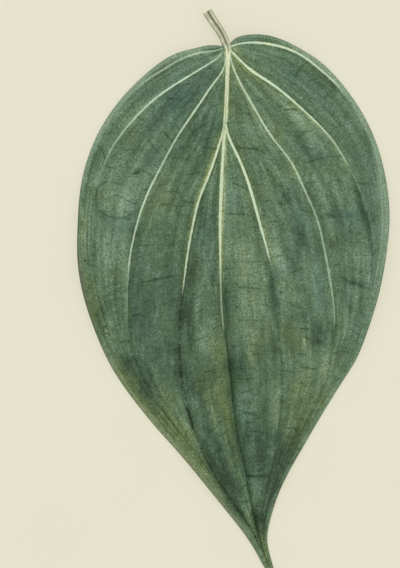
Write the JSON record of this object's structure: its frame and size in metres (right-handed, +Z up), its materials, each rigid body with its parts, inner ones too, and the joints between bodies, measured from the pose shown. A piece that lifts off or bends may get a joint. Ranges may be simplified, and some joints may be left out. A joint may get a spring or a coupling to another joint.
{
  "type": "betel leaf",
  "caption": "Broad heart-shaped leaf with a curved drip tip, veins that run from the stalk to the tip, and a short grooved stalk stub, lying face up.",
  "frame": {"origin": "centre of the footprint, on the surface that the leaf lies on", "axes": "+Y along the leaf toward its stalk, -Y toward its tip, +X to the leaf's right seen from its upper face, +Z up out of the upper face"},
  "size_m": [0.0876, 0.162, 0.0065],
  "materials": {
    "leaf": "satin"
  },
  "bodies": {
    "root": {"betel_leaf": "leaf"}
  },
  "joints": []
}
